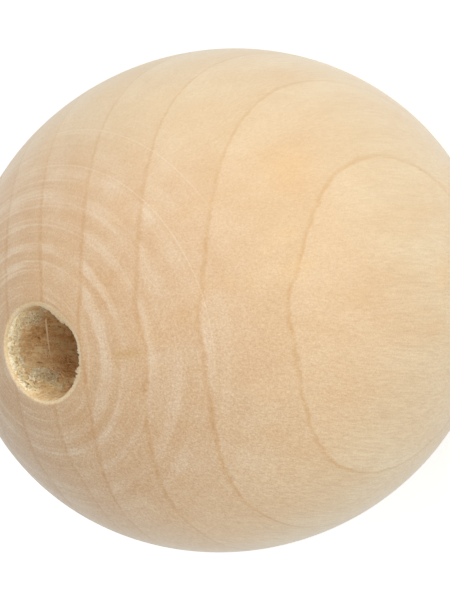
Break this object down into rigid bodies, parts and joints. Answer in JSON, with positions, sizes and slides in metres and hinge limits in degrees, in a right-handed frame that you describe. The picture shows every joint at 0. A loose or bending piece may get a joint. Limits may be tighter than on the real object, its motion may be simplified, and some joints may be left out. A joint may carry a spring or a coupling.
{
  "type": "wooden bead",
  "caption": "Turned bead of raw pale wood, a ball drawn out a little along the round bore that runs right through it with the grain, for threading on a cord or rod.",
  "frame": {"origin": "middle of the bead, on the bore's axis and half way between its two end lands", "axes": "+Z along the bore, and so along the grain, up as the bead stands on its end; +X square to the growth rings, from the pith towards the bark"},
  "size_m": [0.04, 0.04, 0.044],
  "materials": {
    "raw_wood": "sanded and left raw, matt, with growth lines along the bore"
  },
  "bodies": {
    "root": {"bead": "raw_wood"}
  },
  "joints": []
}
